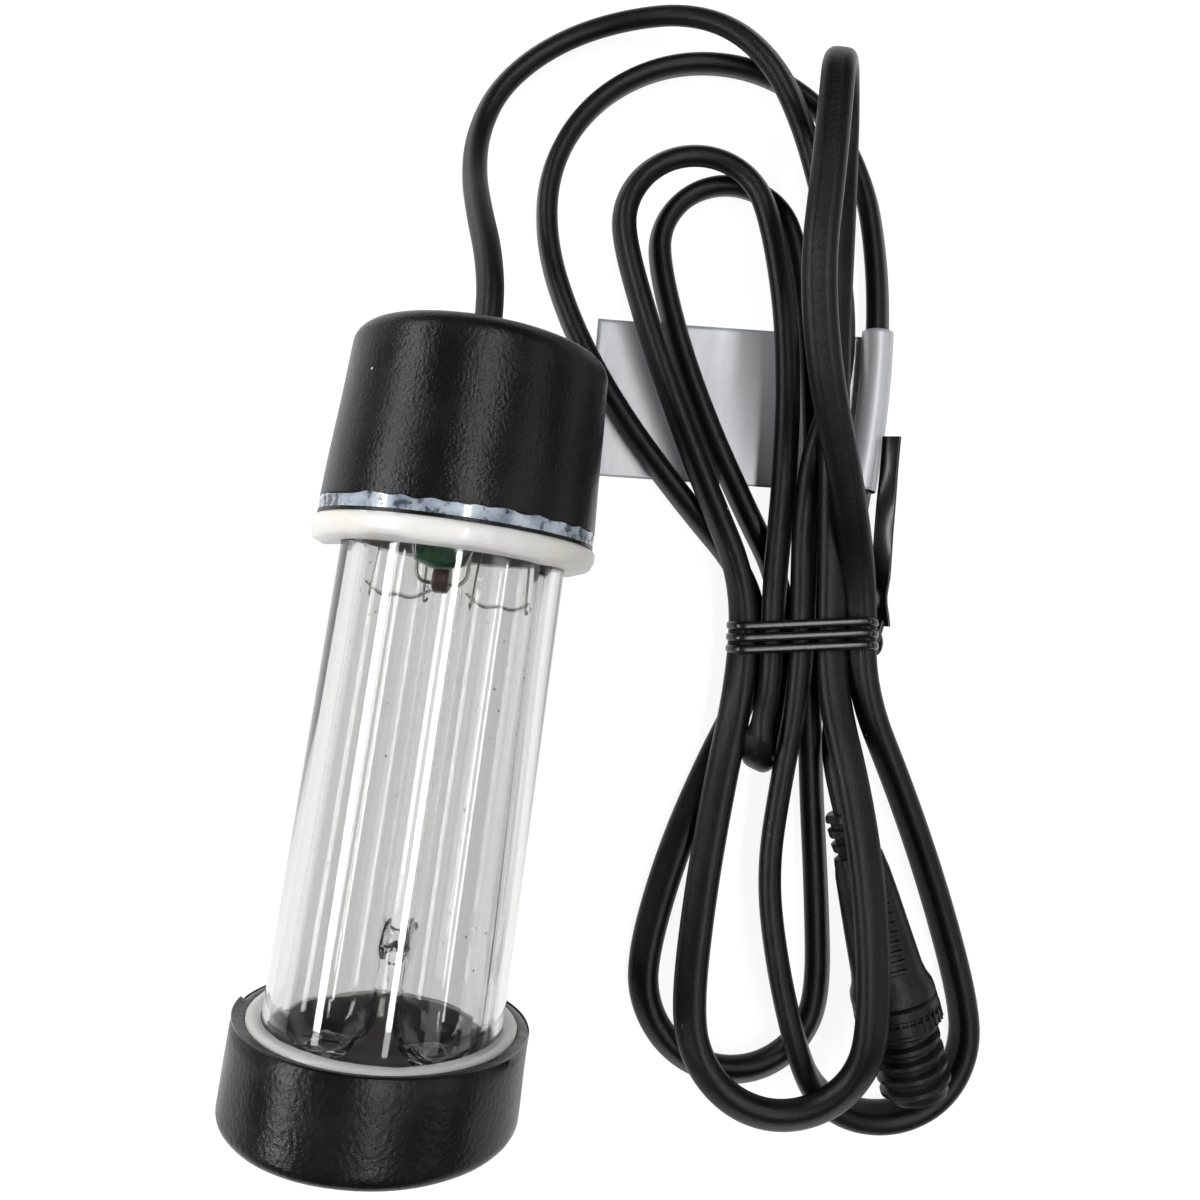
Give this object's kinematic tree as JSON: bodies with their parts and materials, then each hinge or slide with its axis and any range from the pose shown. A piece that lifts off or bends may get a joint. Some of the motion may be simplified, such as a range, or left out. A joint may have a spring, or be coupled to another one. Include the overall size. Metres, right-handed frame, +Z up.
{
  "type": "submersible germicidal lamp",
  "caption": "Submersible germicidal lamp: twin-tube lamp in a clear glass sleeve between black push-on caps, with its flat cord tied in a hank and a screw connector.",
  "frame": {"origin": "under the middle of the lamp, on the table that both caps lie on", "axes": "+Y along the lamp's axis towards the cord, +Z up, +X towards the hank"},
  "size_m": [0.1262, 0.2084, 0.0473],
  "materials": {
    "cap_black": "moulded black plastic with a fine leathery grain, scuffed",
    "sleeve_glass": "clear tubing with fire-polished ends",
    "lamp_glass": "clear thin-walled lamp tube",
    "silicone_white": "white silicone, slightly translucent",
    "film_clear": "thin clear film band",
    "cord_black": "satin black flat twin cord",
    "connector_black": "moulded black connector with satin ribs",
    "tie_black": "black plastic twist tie",
    "label_silver": "bare silver film",
    "potting_grey": "grey potting silicone",
    "ceramic_base": "off-white moulded collar",
    "tungsten": "dark coiled tungsten wire",
    "lead_steel": "nickel-plated wire",
    "capacitor_green": "dipped green resin",
    "thermistor_brown": "brown dipped disc",
    "contact_brass": "plated brass sleeve",
    "core_brown": "insulated wire"
  },
  "bodies": {
    "root": {"base_pins": "lead_steel", "bottom_cap": "cap_black", "bottom_seal": "silicone_white", "cable_gland": "cord_black", "connector_body": "connector_black", "connector_ring": "connector_black", "contact_insert": "connector_black", "contact_sockets": "contact_brass", "cord_hank": "cord_black", "cord_lead": "cord_black", "cord_tail": "cord_black", "core_wires": "core_brown", "filament_left": "tungsten", "filament_right": "tungsten", "film_band": "film_clear", "film_capacitor": "capacitor_green", "glass_sleeve": "sleeve_glass", "grip_ribs": "connector_black", "label_tag": "label_silver", "lamp_base": "ceramic_base", "lamp_bridge": "lamp_glass", "lamp_tube_left": "lamp_glass", "lamp_tube_right": "lamp_glass", "lead_wires_left": "lead_steel", "lead_wires_right": "lead_steel", "pinch_stem_left": "lamp_glass", "pinch_stem_right": "lamp_glass", "potting_plug": "potting_grey", "sealing_ring": "cord_black", "starter_leads": "lead_steel", "starter_thermistor": "thermistor_brown", "strain_relief": "connector_black", "threaded_barrel": "connector_black", "tie_knot": "tie_black", "tie_tail": "tie_black", "top_cap": "cap_black", "top_seal": "silicone_white", "twist_tie": "tie_black"}
  },
  "joints": []
}
